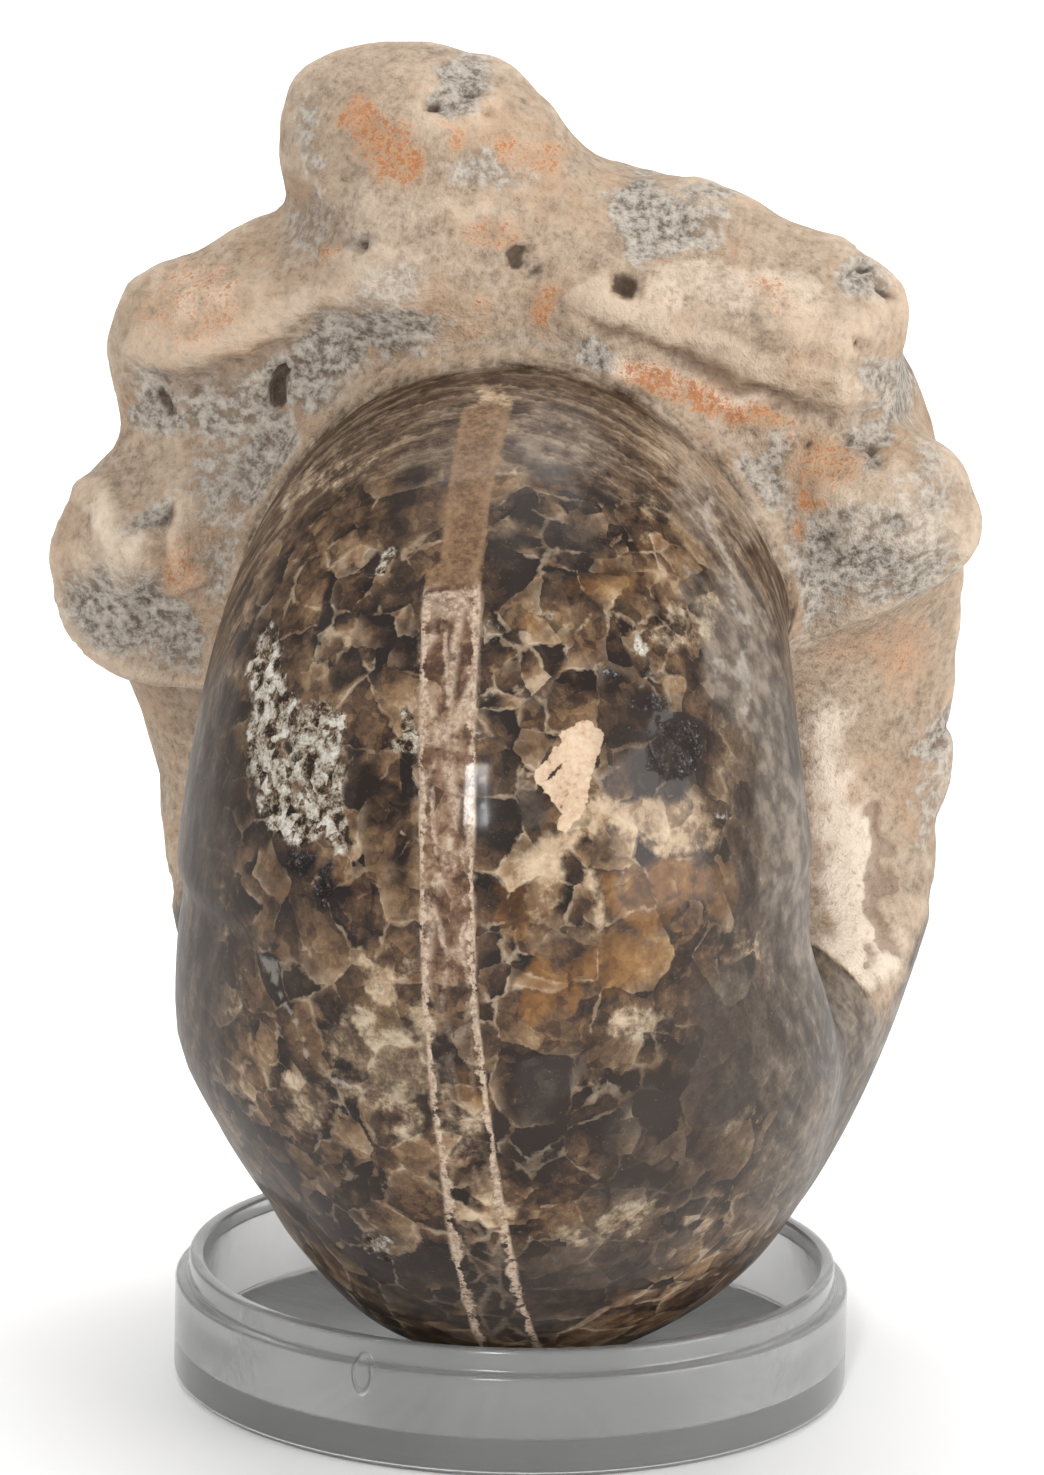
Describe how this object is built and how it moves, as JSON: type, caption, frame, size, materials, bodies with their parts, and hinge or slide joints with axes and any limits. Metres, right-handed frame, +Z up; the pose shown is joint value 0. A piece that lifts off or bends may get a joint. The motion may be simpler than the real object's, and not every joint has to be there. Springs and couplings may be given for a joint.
{
  "type": "ammonite fossil in a display dish",
  "caption": "Coiled ammonite fossil, part polished calcite and part ribbed pale stone cast with a lumpy end face, standing on edge in a shallow clear round dish.",
  "frame": {"origin": "centre of the face that the dish stands on", "axes": "+Z up along the dish's axis, -Y towards the polished front of the fossil, X across the coil"},
  "size_m": [0.083, 0.0995, 0.1195],
  "materials": {
    "fossil_stone": "brown calcite crystals polished to a gloss, changing to a pale beige stone cast with a satin, pitted surface",
    "clear_plastic": "clear moulded plastic, slightly hazy and grey-green in its thickness"
  },
  "bodies": {
    "root": {"ammonite_fossil": "fossil_stone", "display_dish": "clear_plastic"}
  },
  "joints": []
}
